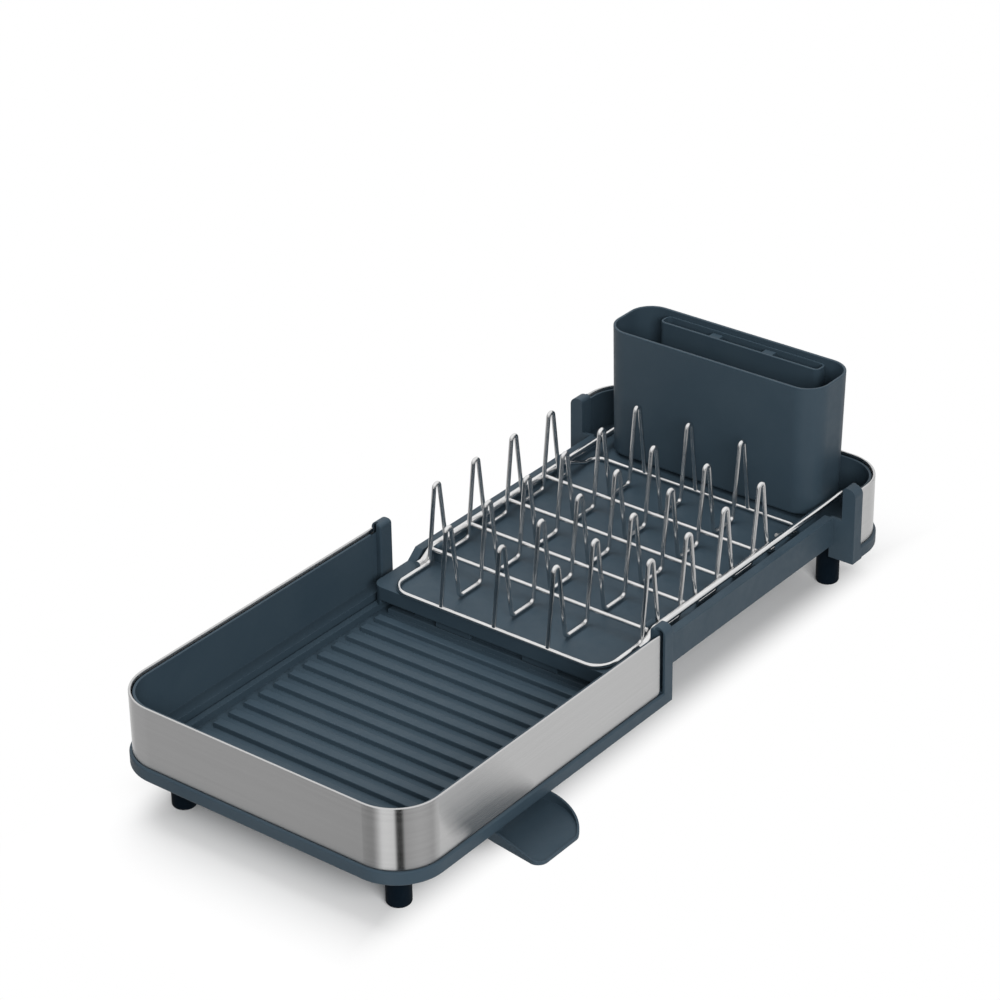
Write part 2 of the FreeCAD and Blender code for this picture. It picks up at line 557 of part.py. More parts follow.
def spout_outline(inset, z0, z1):
    """Scoop seen from above: straight left edge and tip, round right side, hidden straight root."""
    centre_x = SPOUT_PIVOT_X + SPOUT_CENTRE_DX
    centre_y = PIVOT_Y - SPOUT_CENTRE_DY
    radius = SPOUT_RADIUS - inset
    lean = math.radians(SPOUT_LEFT_LEAN)
    tip_y = centre_y - SPOUT_TIP_OUT + inset
    root_y = centre_y + SPOUT_ROOT_IN - inset

    def left_x(y):
        return SPOUT_PIVOT_X - SPOUT_LEFT_OFFSET + inset / math.cos(lean) + (y - PIVOT_Y) * math.tan(lean)

    def right_x(y):
        return centre_x + math.sqrt(radius ** 2 - (y - centre_y) ** 2)

    corners = [vec(left_x(root_y), root_y, z0), vec(left_x(tip_y), tip_y, z0),
               vec(right_x(tip_y), tip_y, z0), vec(right_x(root_y), root_y, z0)]
    side = Part.Arc(corners[2], vec(centre_x + radius, centre_y, z0), corners[3]).toShape()
    edges = [Part.makeLine(corners[0], corners[1]), Part.makeLine(corners[1], corners[2]), side,
             Part.makeLine(corners[3], corners[0])]
    solid = Part.Face(Part.Wire(edges)).extrude(vec(0, 0, z1 - z0))
    tip_edges = [e for e in solid.Edges if e.BoundBox.ZLength > 1 and e.BoundBox.YMax < tip_y + 1]
    root_edges = [e for e in solid.Edges if e.BoundBox.ZLength > 1 and e.BoundBox.YMin > root_y - 1]
    solid = solid.makeFillet(SPOUT_CORNER - inset, tip_edges)
    return solid.makeFillet(SPOUT_ROOT_CORNER - inset, root_edges)


def sloped_cut(y_root, z_root, y_tip, z_tip, z_far):
    """Everything beyond a plane that slopes from the root of the spout to its tip."""
    slope = (z_tip - z_root) / (y_tip - y_root)
    y_a = y_root + HALF
    y_b = y_tip - HALF
    outline = Part.makePolygon([vec(0, y_a, z_root), vec(0, y_root, z_root),
                                vec(0, y_b, z_root + slope * (y_b - y_root)), vec(0, y_b, z_far),
                                vec(0, y_a, z_far), vec(0, y_a, z_root)])
    solid = Part.Face(outline).extrude(vec(2 * OVERALL_LENGTH, 0, 0))
    solid.translate(vec(-OVERALL_LENGTH, 0, 0))
    return solid


def make_spout():
    y_root = -(HALF - BAND_IN)
    y_tip = SPOUT_TIP_Y
    body = spout_outline(0, SPOUT_BOTTOM_Z, SPOUT_TOP_Z)
    rim = sloped_cut(y_root, SPOUT_TOP_Z, y_tip, SPOUT_TOP_Z - SPOUT_TIP_DROP, SPOUT_TOP_Z + HALF)
    under = sloped_cut(y_root, SPOUT_BOTTOM_Z, y_tip, SPOUT_BOTTOM_Z + SPOUT_TIP_RISE, SPOUT_BOTTOM_Z - HALF)
    cavity = spout_outline(SPOUT_WALL, SPOUT_BOTTOM_Z, SPOUT_TOP_Z + PAST)
    floor_plane = sloped_cut(y_root, SPOUT_BOTTOM_Z + SPOUT_SOLE, y_tip,
                             SPOUT_BOTTOM_Z + SPOUT_TIP_RISE + SPOUT_SOLE / 2, SPOUT_BOTTOM_Z - HALF)
    body = body.cut(rim).cut(under).cut(cavity.cut(floor_plane))
    body = body.fuse(cylinder(SPOUT_PIVOT_X, PIVOT_Y, SPOUT_BOTTOM_Z, SPOUT_TOP_Z, HUB_RADIUS))
    body = body.cut(cylinder(SPOUT_PIVOT_X, PIVOT_Y, SPOUT_BOTTOM_Z - PAST, SPOUT_TOP_Z + PAST,
                             BOSS_RADIUS + BOSS_RUNNING_FIT))
    return body.removeSplitter()


def make_spout_screw():
    """Pan-head screw driven up into the boss, holding the spout's hub."""
    head_top = SPOUT_BOTTOM_Z - SCREW_HEAD_CLEARANCE
    head = cylinder(SPOUT_PIVOT_X, PIVOT_Y, head_top - SCREW_HEAD_HEIGHT, head_top, SCREW_HEAD_RADIUS)
    head = head.makeFillet(SCREW_HEAD_HEIGHT / 2, horizontal_edges(head, head_top - SCREW_HEAD_HEIGHT))
    collar = cylinder(SPOUT_PIVOT_X, PIVOT_Y, head_top - TOUCH, SPOUT_BOTTOM_Z + SPOUT_SOLE / 2, BOSS_RADIUS)
    shank_top = SPOUT_BOTTOM_Z + SPOUT_SOLE / 2 + SCREW_SHANK_LENGTH
    shank = cylinder(SPOUT_PIVOT_X, PIVOT_Y, head_top, shank_top, SCREW_SHANK_RADIUS)
    screw = head.multiFuse([collar, shank]).removeSplitter()
    z0 = head_top - SCREW_HEAD_HEIGHT
    arm = SCREW_RECESS_LENGTH / 2
    width = SCREW_RECESS_WIDTH / 2
    for across_x, across_y in ((arm, width), (width, arm)):
        screw = screw.cut(box(SPOUT_PIVOT_X - across_x, SPOUT_PIVOT_X + across_x, PIVOT_Y - across_y,
                              PIVOT_Y + across_y, z0 - PAST, z0 + SCREW_RECESS_DEPTH))
    return screw


def bent_path(points, radii):
    """Edges of a bent wire's centre line: straight runs joined by arcs at the inner points."""
    edges = []
    start = points[0]
    for index in range(1, len(points) - 1):
        corner = points[index]
        back = (points[index - 1] - corner).normalize()
        ahead = (points[index + 1] - corner).normalize()
        angle = back.getAngle(ahead)
        reach = radii[index - 1] / math.tan(angle / 2)
        first = corner + back * reach
        last = corner + ahead * reach
        bisector = (back + ahead).normalize()
        middle = corner + bisector * (radii[index - 1] / math.sin(angle / 2) - radii[index - 1])
        edges.append(Part.makeLine(start, first))
        edges.append(Part.Arc(first, middle, last).toShape())
        start = last
    edges.append(Part.makeLine(start, points[-1]))
    return Part.Wire(edges)


def bent_wire(points, radii, wire_radius):
    path = bent_path(points, radii)
    along = (points[1] - points[0]).normalize()
    profile = Part.Wire([Part.makeCircle(wire_radius, points[0], along)])
    return path.makePipeShell([profile], True, True)


def prong_row(y, first, count):
    """Zigzag wire of upright prongs joined by straight links at floor level."""
    points = []
    radii = []
    last_x = RACK_FRONT_X
    for index in range(first, first + count):
        x0 = RACK_FRONT_X + index * PRONG_PITCH
        x1 = x0 + PRONG_BASE
        points.append(vec(x0, y, BASE_WIRE_Z))
        points.append(vec((x0 + x1) / 2, y, PRONG_APEX_Z))
        points.append(vec(x1, y, BASE_WIRE_Z))
        radii.extend([PRONG_FOOT_RADIUS, PRONG_TOP_RADIUS, PRONG_FOOT_RADIUS])
        last_x = x1
    trim = WIRE_RADIUS - WELD_BITE
    if first == 0:
        slope = (points[1] - points[0]).normalize()
        points[0] = points[0] + slope * trim
        points[-1] = vec(last_x, y, BASE_WIRE_Z) + (points[-2] - points[-1]).normalize() * trim
        radii = radii[1:-1]
    else:
        lead = PRONG_FOOT_RADIUS * 2
        points = [vec(points[0].x - lead, y, BASE_WIRE_Z)] + points + [vec(last_x + lead, y, BASE_WIRE_Z)]
    return bent_wire(points, radii, WIRE_RADIUS)


def make_front_loop():
    """Front wire of the rack, turning back along both sides to the rails' front ends."""
    end_x = RACK_FRONT_X + PRONG_PITCH - PRONG_FOOT_RADIUS * 2
    z = BASE_WIRE_Z
    points = [vec(end_x, -SIDE_ROW_Y, z), vec(RACK_FRONT_X, -SIDE_ROW_Y, z),
              vec(RACK_FRONT_X, SIDE_ROW_Y, z), vec(end_x, SIDE_ROW_Y, z)]
    return bent_wire(points, [FRONT_LOOP_RADIUS, FRONT_LOOP_RADIUS], WIRE_RADIUS)


def make_rail(side):
    """Thick side wire: rises from the front loop onto the tray's ledge and turns down at the rear."""
    y = side * RAIL_Y
    low_z = RACK_FLOOR_Z + RACK_LIFT + RAIL_RADIUS
    front_x = REAR_FRONT_X + RAIL_FRONT_START
    rear_x = CAP_FACE_X + RAIL_REAR_BEYOND_FACE
    points = [vec(front_x - RAIL_RAMP / 2, y, low_z), vec(front_x, y, low_z),
              vec(front_x + RAIL_RAMP, y, RAIL_Z), vec(rear_x, y, RAIL_Z),
              vec(rear_x, y, RACK_FLOOR_Z + RACK_LIFT)]
    return bent_wire(points, [RAIL_BEND_RADIUS, RAIL_BEND_RADIUS, RAIL_BEND_RADIUS], RAIL_RADIUS)


def make_back_wire():
    """Rear cross wire, its ends turned forward and rising to the rails."""
    z = BASE_WIRE_Z
    low_x = RACK_BACK_X - BACK_WIRE_LOW_RUN
    high_x = low_x - BACK_WIRE_RISE_RUN
    points = [vec(high_x, -SIDE_ROW_Y, RAIL_Z), vec(low_x, -SIDE_ROW_Y, z), vec(RACK_BACK_X, -SIDE_ROW_Y, z),
              vec(RACK_BACK_X, SIDE_ROW_Y, z), vec(low_x, SIDE_ROW_Y, z), vec(high_x, SIDE_ROW_Y, RAIL_Z)]
    radii = [BACK_WIRE_RISE_RADIUS, BACK_WIRE_RADIUS, BACK_WIRE_RADIUS, BACK_WIRE_RISE_RADIUS]
    return bent_wire(points, radii, WIRE_RADIUS)


def make_cross_wire(index):
    """Straight wire across the rack, welded behind the first leg of one line of prongs."""
    half_y = RAIL_Y - RAIL_RADIUS + WELD_BITE
    lean = CROSS_WIRE_RAISE * (PRONG_BASE / 2) / (PRONG_APEX_Z - BASE_WIRE_Z)
    x = RACK_FRONT_X + index * PRONG_PITCH + lean + 2 * WIRE_RADIUS - WELD_BITE
    return Part.makeCylinder(WIRE_RADIUS, 2 * half_y, vec(x, -half_y, BASE_WIRE_Z + CROSS_WIRE_RAISE),
                             vec(0, 1, 0))


def drafted_tub(x0, x1, half_y, radius, z0, z1, draft):
    """Rounded block with an upright front, narrower at the foot by the draft on its other sides."""
    def outline(inset, z):
        slab = plan_solid(x0, x1 - inset, half_y - inset, radius - inset, radius - inset, z, z + PAST)
        return [f for f in slab.Faces if abs(f.BoundBox.ZMax - z) < SLACK][0].OuterWire
    return Part.makeLoft([outline(draft, z0), outline(0, z1)], True, True)


def holder_draft(z):
    """How far the holder's drafted sides stand in at a height, measured from the rim."""
    return HOLDER_DRAFT * (HOLDER_TOP_Z - z) / (HOLDER_TOP_Z - HOLDER_BOTTOM_Z)


def holder_back_x():
    """Back of the holder's rim, so that its drafted back clears the top of the cap's inner wall."""
    return OVERALL_LENGTH - WALL_IN - HOLDER_BACK_GAP + holder_draft(WALL_TOP_Z)


def make_holder():
    """Cutlery tub on four short feet, drained through slots and divided in three."""
    x1 = holder_back_x()
    x0 = x1 - HOLDER_DEPTH
    half_y = HOLDER_WIDTH / 2
    z0 = HOLDER_BOTTOM_Z
    block = drafted_tub(x0, x1, half_y, HOLDER_RADIUS, z0, HOLDER_TOP_Z, HOLDER_DRAFT)
    tub = block.makeFillet(HOLDER_WALL, horizontal_edges(block, z0))
    inside = drafted_tub(x0 + HOLDER_WALL, x1 - HOLDER_WALL, half_y - HOLDER_WALL,
                         HOLDER_RADIUS - HOLDER_WALL, z0 + HOLDER_SOLE, HOLDER_TOP_Z,
                         holder_draft(z0 + HOLDER_SOLE))
    tub = tub.cut(inside)
    tub = tub.makeFillet(HOLDER_WALL / 4, horizontal_edges(tub, HOLDER_TOP_Z))
    divider_end = x1 - HOLDER_DRAFT - HOLDER_WALL - SLEEVE_DEPTH - HOLDER_SLOT_MARGIN
    added = []
    for side in (-1, 1):
        y = side * half_y / 3
        added.append(box(x0 + HOLDER_WALL / 2, divider_end, y - HOLDER_DIVIDER / 2, y + HOLDER_DIVIDER / 2,
                         z0 + HOLDER_SOLE / 2, HOLDER_TOP_Z - HOLDER_DIVIDER_DROP))
        for foot_x in (x0 + HOLDER_RADIUS, x1 - HOLDER_RADIUS):
            added.append(cylinder(foot_x, side * (half_y - HOLDER_RADIUS), z0 - HOLDER_FOOT,
                                  z0 + HOLDER_SOLE / 2, HOLDER_FOOT_RADIUS))
    tub = tub.multiFuse(added)
    span = (2 * half_y - 4 * HOLDER_RADIUS) / (HOLDER_SLOT_COUNT - 1)
    slots = []
    for index in range(HOLDER_SLOT_COUNT):
        y = -half_y + 2 * HOLDER_RADIUS + span * index
        slots.append(box(x0 + HOLDER_SLOT_MARGIN, divider_end - HOLDER_SLOT_MARGIN,
                         y - HOLDER_SLOT_WIDTH / 2, y + HOLDER_SLOT_WIDTH / 2, z0 - PAST,
                         z0 + HOLDER_SOLE + PAST))
    return tub.cut(Part.makeCompound(slots)).removeSplitter()


def make_knife_sleeve():
    """Narrow slotted sleeve for knives that stands against the back of the holder."""
    x1 = holder_back_x() - HOLDER_WALL - SLEEVE_GAP
    x0 = x1 - SLEEVE_DEPTH
    half_y = SLEEVE_WIDTH / 2
    z0 = HOLDER_BOTTOM_Z + HOLDER_SOLE + HOLDER_LIFT
    z1 = HOLDER_TOP_Z - SLEEVE_TOP_DROP
    top_inset = holder_draft(z1)
    body = drafted_tub(x0, x1 - top_inset, half_y, SLEEVE_RADIUS, z0, z1, holder_draft(z0) - top_inset)
    body = body.makeFillet(SLEEVE_WALL / 3, horizontal_edges(body, z1))
    z_sole = z0 + SLEEVE_SOLE
    body = body.cut(drafted_tub(x0 + SLEEVE_WALL, x1 - top_inset - SLEEVE_WALL, half_y - SLEEVE_WALL,
                                SLEEVE_RADIUS - SLEEVE_WALL, z_sole, z1 + TOUCH,
                                holder_draft(z_sole) - top_inset))
    bridges = []
    drains = []
    for step in (-1, 1):
        y = step * half_y / 3
        bridges.append(box(x0 + SLEEVE_WALL / 2, x1 - holder_draft(z0) - SLEEVE_WALL / 2,
                           y - SLEEVE_BRIDGE / 2, y + SLEEVE_BRIDGE / 2, z0 + SLEEVE_SOLE / 2,
                           z1 - SLEEVE_WALL))
    for step in (-1, 0, 1):
        drains.append(cylinder((x0 + x1) / 2, step * half_y * 2 / 3, z0 - PAST, z_sole + PAST,
                               SLEEVE_DRAIN_RADIUS))
    return body.multiFuse(bridges).cut(Part.makeCompound(drains)).removeSplitter()


nodes = {
    "front_tray": make_front_tray(),
    "front_band": steel_band(front_plan, FRONT_LENGTH, -1, FRONT_POST_LENGTH + FRONT_BAND_END_GAP),
    "foot_front_right": foot(FOOT_INSET_X, -FOOT_Y, FLOOR_UNDER_Z),
    "foot_front_left": foot(FOOT_INSET_X, FOOT_Y, FLOOR_UNDER_Z),
    "drain_spout": make_spout(),
    "spout_screw": make_spout_screw(),
    "rear_tray": make_rear_tray(),
    "rear_band": steel_band(rear_plan, CAP_FACE_X, 1, REAR_POST_LENGTH + REAR_BAND_END_GAP),
    "foot_rear_right": foot(OVERALL_LENGTH - FOOT_INSET_X, -FOOT_Y, REAR_FLOOR_UNDER_Z),
    "foot_rear_left": foot(OVERALL_LENGTH - FOOT_INSET_X, FOOT_Y, REAR_FLOOR_UNDER_Z),
    "rack_front_loop": make_front_loop(),
    "rack_rail_right": make_rail(-1),
    "rack_rail_left": make_rail(1),
    "rack_back_wire": make_back_wire(),
    "cutlery_holder": make_holder(),
    "knife_sleeve": make_knife_sleeve(),
}
for wire in range(1, 1 + CROSS_WIRE_COUNT):
    nodes["cross_wire_" + str(wire)] = make_cross_wire(wire)
for row in range(-ROW_HALF_COUNT, ROW_HALF_COUNT + 1):
    on_side = abs(row) == ROW_HALF_COUNT
    name = "prong_row_" + str(row + ROW_HALF_COUNT + 1)
    first = 1 if on_side else 0
    count = SIDE_PRONG_COUNT if on_side else PRONG_COUNT
    nodes[name] = prong_row(row * ROW_PITCH, first, count)

for name, shape in nodes.items():
    shape.translate(vec(-ORIGIN_X, -ORIGIN_Y, 0))
    shape.exportStep("parts/" + name + ".step")
    print(name, shape.isValid(), len(shape.Solids), round(shape.Volume / 1000, 2), "cm3")
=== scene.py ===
import bpy
import json
import math
from mathutils import Matrix, Vector

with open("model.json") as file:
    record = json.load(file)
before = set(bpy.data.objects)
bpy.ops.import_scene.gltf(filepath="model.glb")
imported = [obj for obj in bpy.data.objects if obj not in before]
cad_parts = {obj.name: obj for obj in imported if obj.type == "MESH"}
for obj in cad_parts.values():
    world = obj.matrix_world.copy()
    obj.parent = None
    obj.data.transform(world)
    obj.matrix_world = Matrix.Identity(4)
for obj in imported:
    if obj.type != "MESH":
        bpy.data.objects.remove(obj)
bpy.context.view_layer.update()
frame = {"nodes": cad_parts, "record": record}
nodes = frame["nodes"]
scene = bpy.context.scene

# Camera, in metres and millimetres of lens
CAMERA_AT = Vector((-1.519347, -1.150687, 1.206083))
CAMERA_AZIMUTH = math.radians(-51.9655)
CAMERA_ELEVATION = math.radians(28.8799)
CAMERA_ROLL = math.radians(-0.8551)
CAMERA_LENS = 116.784
CAMERA_SENSOR = 36.0
CAMERA_NEAR = 0.01
CAMERA_FAR = 50.0


def add_camera():
    sa, ca = math.sin(CAMERA_AZIMUTH), math.cos(CAMERA_AZIMUTH)
    se, ce = math.sin(CAMERA_ELEVATION), math.cos(CAMERA_ELEVATION)
    forward = Vector((-sa * ce, ca * ce, -se))
    right = forward.cross(Vector((0, 0, 1))).normalized()
    up = right.cross(forward)
    cr, sr = math.cos(CAMERA_ROLL), math.sin(CAMERA_ROLL)
    right, up = right * cr + up * sr, up * cr - right * sr
    data = bpy.data.cameras.new("camera")
    data.lens = CAMERA_LENS
    data.sensor_width = CAMERA_SENSOR
    data.clip_start = CAMERA_NEAR
    data.clip_end = CAMERA_FAR
    camera = bpy.data.objects.new("camera", data)
    basis = Matrix((right, up, -forward)).transposed().to_4x4()
    camera.matrix_world = Matrix.Translation(CAMERA_AT) @ basis
    scene.collection.objects.link(camera)
    scene.camera = camera


add_camera()


# Materials
BEVEL_SAMPLES = 6
NOISE_RANGE = (0.3, 0.7)

# Plastic: slate blue, matt
PLASTIC_DARK = (0.034, 0.056, 0.076, 1)
PLASTIC_LIGHT = (0.040, 0.063, 0.083, 1)
PLASTIC_SPECULAR = 0.24
PLASTIC_EDGE = 0.0005
PLASTIC_MOTTLE = {"scale": 26.0, "detail": 4.0, "rough": 0.6}
PLASTIC_PATCHES = {"scale": 140.0, "detail": 3.0}
PLASTIC_GRAIN = {"scale": 1500.0}
PLASTIC_BUMP = {"strength": 0.22, "distance": 0.0002}
TRAY_ROUGHNESS = (0.44, 0.54)
HOLDER_ROUGHNESS = (0.42, 0.52)

# Steel: the noise is stretched along the brushing, and the highlight lies a quarter turn from it
STEEL_GREYS = (0.58, 0.63)
STEEL_ROUGHNESS = (0.22, 0.27)
STEEL_EDGE = 0.0003
SCREW_GREYS = (0.50, 0.60)
SCREW_ROUGHNESS = (0.28, 0.36)
SCREW_EDGE = 0.0002
STREAK_STRETCH = (5.0, 5.0, 900.0)
STREAK_NOISE = {"scale": 1.0, "detail": 4.0, "rough": 0.65}
STREAK_RANGE = (0.45, 0.9)
FINE_STRETCH = (22.0, 22.0, 3200.0)
FINE_NOISE = {"scale": 1.0, "rough": 0.6}
FINE_BUMP = {"strength": 0.10, "distance": 0.00005}
CLOUD_NOISE = {"scale": 9.0}
CLOUD_SHARE = 0.35
BRUSHING = 1.0
QUARTER_TURN = 0.25

# Wire
WIRE_GREYS = (0.72, 0.82)
WIRE_ROUGHNESS = (0.14, 0.22)
WIRE_HAZE = {"scale": 60.0, "detail": 3.0}
WIRE_MARKS = {"scale": 700.0}
WIRE_BUMP = {"strength": 0.06, "distance": 0.0001}

# Rubber
RUBBER_DARK = (0.0020, 0.0055, 0.0100, 1)
RUBBER_LIGHT = (0.0040, 0.0080, 0.0130, 1)
RUBBER_ROUGHNESS = (0.55, 0.72)
RUBBER_SPECULAR = 0.04
RUBBER_EDGE = 0.0006
RUBBER_DUST = {"scale": 90.0, "detail": 4.0, "rough": 0.6}
RUBBER_PATCHES = {"scale": 300.0}
RUBBER_GRAIN = {"scale": 1800.0}
RUBBER_BUMP = {"strength": 0.3, "distance": 0.0002}


def set_range(node, side, limits):
    """Set the From or To limits of a Map Range node."""
    node.inputs[side + " Min"].default_value, node.inputs[side + " Max"].default_value = limits


class Graph:
    """Short way to build a node material."""

    def __init__(self, name):
        self.material = bpy.data.materials.new(name)
        self.material.use_nodes = True
        self.tree = self.material.node_tree
        self.shader = self.tree.nodes["Principled BSDF"]
        self.coords = self.add("ShaderNodeTexCoord").outputs["Object"]

    def add(self, kind, **values):
        node = self.tree.nodes.new(kind)
        for key, value in values.items():
            setattr(node, key, value)
        return node

    def link(self, out, into):
        self.tree.links.new(out, into)

    def mapped(self, scale):
        node = self.add("ShaderNodeMapping")
        node.inputs["Scale"].default_value = scale
        self.link(self.coords, node.inputs["Vector"])
        return node.outputs["Vector"]

    def noise(self, vector, scale, detail=2.0, rough=0.5):
        node = self.add("ShaderNodeTexNoise")
        node.inputs["Scale"].default_value = scale
        node.inputs["Detail"].default_value = detail
        node.inputs["Roughness"].default_value = rough
        self.link(vector, node.inputs["Vector"])
        return node.outputs["Fac"]

    def ramp(self, factor, low, high, limits=NOISE_RANGE):
        node = self.add("ShaderNodeValToRGB")
        for element, position, color in zip(node.color_ramp.elements, limits, (low, high)):
            element.position = position
            element.color = color
        self.link(factor, node.inputs["Fac"])
        return node.outputs["Color"]

    def span(self, factor, values):
        node = self.add("ShaderNodeMapRange")
        set_range(node, "From", NOISE_RANGE)
        set_range(node, "To", values)
        self.link(factor, node.inputs["Value"])
        return node.outputs["Result"]

    def edge(self, radius):
        """Rounded normals at hard edges."""
        node = self.add("ShaderNodeBevel", samples=BEVEL_SAMPLES)
        node.inputs["Radius"].default_value = radius
        return node.outputs["Normal"]

    def bump(self, height, strength, distance, normal=None):
        node = self.add("ShaderNodeBump")
        node.inputs["Strength"].default_value = strength
        node.inputs["Distance"].default_value = distance
        self.link(height, node.inputs["Height"])
        if normal is not None:
            self.link(normal, node.inputs["Normal"])
        return node.outputs["Normal"]

    def feed(self, socket, out):
        self.link(out, self.shader.inputs[socket])

    def set(self, **values):
        for key, value in values.items():
            self.shader.inputs[key.replace("_", " ")].default_value = value


def grey(value):
    return (value, value, value, 1.0)


def plastic(name, roughness):
    """Matt moulded plastic: fine spark-eroded grain, faint mottling, soft edges."""
    g = Graph(name)
    g.feed("Base Color", g.ramp(g.noise(g.coords, **PLASTIC_MOTTLE), PLASTIC_DARK, PLASTIC_LIGHT))
    g.feed("Roughness", g.span(g.noise(g.coords, **PLASTIC_PATCHES), roughness))
    grain = g.noise(g.coords, **PLASTIC_GRAIN)
    g.feed("Normal", g.bump(grain, normal=g.edge(PLASTIC_EDGE), **PLASTIC_BUMP))
    g.set(Specular_IOR_Level=PLASTIC_SPECULAR)
    return g.material


def brushed_steel(name, greys, roughness, edge_radius):
    """Stainless strip, brushed along its length: long level streaks and a stretched highlight."""
    g = Graph(name)
    streak = g.noise(g.mapped(STREAK_STRETCH), **STREAK_NOISE)
    fine = g.noise(g.mapped(FINE_STRETCH), **FINE_NOISE)
    both = g.add("ShaderNodeMath", operation="MULTIPLY_ADD")
    g.link(g.noise(g.coords, **CLOUD_NOISE), both.inputs[0])
    both.inputs[1].default_value = CLOUD_SHARE
    g.link(streak, both.inputs[2])
    low, high = greys
    g.feed("Base Color", g.ramp(both.outputs[0], grey(low), grey(high), STREAK_RANGE))
    g.feed("Roughness", g.span(streak, roughness))
    g.feed("Normal", g.bump(fine, normal=g.edge(edge_radius), **FINE_BUMP))
    tangent = g.add("ShaderNodeTangent", direction_type="RADIAL", axis="Z")
    g.feed("Tangent", tangent.outputs["Tangent"])
    g.set(Metallic=1.0, Anisotropic=BRUSHING, Anisotropic_Rotation=QUARTER_TURN)
    return g.material


def drawn_wire(name):
    """Polished stainless wire with faint drawing marks and water haze."""
    g = Graph(name)
    haze = g.noise(g.coords, **WIRE_HAZE)
    low, high = WIRE_GREYS
    g.feed("Base Color", g.ramp(haze, grey(low), grey(high)))
    g.feed("Roughness", g.span(haze, WIRE_ROUGHNESS))
    g.feed("Normal", g.bump(g.noise(g.coords, **WIRE_MARKS), **WIRE_BUMP))
    g.set(Metallic=1.0)
    return g.material


def rubber(name):
    """Soft moulded rubber, slightly dusty."""
    g = Graph(name)
    g.feed("Base Color", g.ramp(g.noise(g.coords, **RUBBER_DUST), RUBBER_DARK, RUBBER_LIGHT))
    g.feed("Roughness", g.span(g.noise(g.coords, **RUBBER_PATCHES), RUBBER_ROUGHNESS))
    grain = g.noise(g.coords, **RUBBER_GRAIN)
    g.feed("Normal", g.bump(grain, normal=g.edge(RUBBER_EDGE), **RUBBER_BUMP))
    g.set(Specular_IOR_Level=RUBBER_SPECULAR)
    return g.material


HOLDER_NODES = ("cutlery_holder", "knife_sleeve")
holder_plastic = plastic("holder_plastic", HOLDER_ROUGHNESS)
finishes = {"plastic": plastic("tray_plastic", TRAY_ROUGHNESS),
            "steel": brushed_steel("band_steel", STEEL_GREYS, STEEL_ROUGHNESS, STEEL_EDGE),
            "screw": brushed_steel("screw_steel", SCREW_GREYS, SCREW_ROUGHNESS, SCREW_EDGE),
            "wire": drawn_wire("rack_wire"),
            "rubber": rubber("foot_rubber")}
slot_of = {part["node"]: part["material_slot"] for part in frame["record"]["subparts"]}
for name, node in nodes.items():
    finish = holder_plastic if name in HOLDER_NODES else finishes[slot_of[name]]
    node.data.materials.clear()
    node.data.materials.append(finish)


# Stage
# The ring of upright studio panels that metal mirrors: part of a turn round the rack, and grey level.
RING_LEVELS = ((0.018, 0.96), (0.090, 0.86), (0.106, 0.03), (0.138, 0.02), (0.152, 0.44), (0.245, 0.54),
               (0.300, 0.50), (0.320, 0.40), (0.355, 0.50), (0.385, 0.95), (0.398, 0.72), (0.50, 0.76),
               (0.60, 0.90), (0.68, 0.90), (0.74, 0.50), (0.888, 0.48), (0.905, 0.31), (0.968, 0.30))
RING_SEAM = 0.7
# The white panel above the ring fades in between two heights of a mirrored ray's direction.
OVERHEAD_HEIGHTS = (0.22, 0.55)
# Soft daylight of the room, from level to straight up.
SKY_LEVELS = (0.10, 0.42)
# The floor turns from shaded to a painted white glow for the camera between these distances from the
# middle, in metres:
# past either end, past the near side and past the far side of the rack. Farther out the glow paints
# over the rack's shadow.
GLOW_ENDS = (0.22, 0.40)
GLOW_NEAR_SIDE = (-0.062, -0.102)
GLOW_FAR_SIDE = (0.09, 0.18)
FLOOR_SIZE = 40.0
FLOOR_SEEN = 0.90
FLOOR_LIGHTING = 0.80
WHITE = 1.0
KEY_LIGHT = {"at": (-1.25, -1.65, 1.15), "target": (0.0, 0.0, 0.05), "size": (1.3, 0.9), "energy": 44.0}
TOP_LIGHT = {"at": (0.1, 0.70, 1.65), "target": (0.0, 0.0, 0.0), "size": (1.4, 0.9), "energy": 19.0}


def largest(tree, *sockets):
    """Largest of several values."""
    out = sockets[0]
    for socket in sockets[1:]:
        node = tree.nodes.new("ShaderNodeMath")
        node.operation = "MAXIMUM"
        tree.links.new(out, node.inputs[0])
        tree.links.new(socket, node.inputs[1])
        out = node.outputs[0]
    return out


def faded(tree, value, limits, step="SMOOTHSTEP"):
    """Step from 0 at the first limit to 1 at the second."""
    node = tree.nodes.new("ShaderNodeMapRange")
    node.interpolation_type = step
    set_range(node, "From", limits)
    tree.links.new(value, node.inputs["Value"])
    return node.outputs["Result"]


def mixed(tree, factor, first, second):
    """First shader where the factor is 0, second where it is 1."""
    node = tree.nodes.new("ShaderNodeMixShader")
    tree.links.new(factor, node.inputs[0])
    tree.links.new(first, node.inputs[1])
    tree.links.new(second, node.inputs[2])
    return node.outputs[0]


def split_axes(tree, vector):
    node = tree.nodes.new("ShaderNodeSeparateXYZ")
    tree.links.new(vector, node.inputs[0])
    return node.outputs


def coloured(tree, kind, level):
    """Shader node of one grey."""
    node = tree.nodes.new(kind)
    node.inputs["Color"].default_value = grey(level)
    return node


def ray_kinds(tree):
    """Yes-or-no values for a ray that shows the scene as it is, and for one that mirrors it."""
    path = tree.nodes.new("ShaderNodeLightPath")
    direct = largest(tree, path.outputs["Is Camera Ray"], path.outputs["Is Transmission Ray"])
    return direct, path.outputs["Is Glossy Ray"]


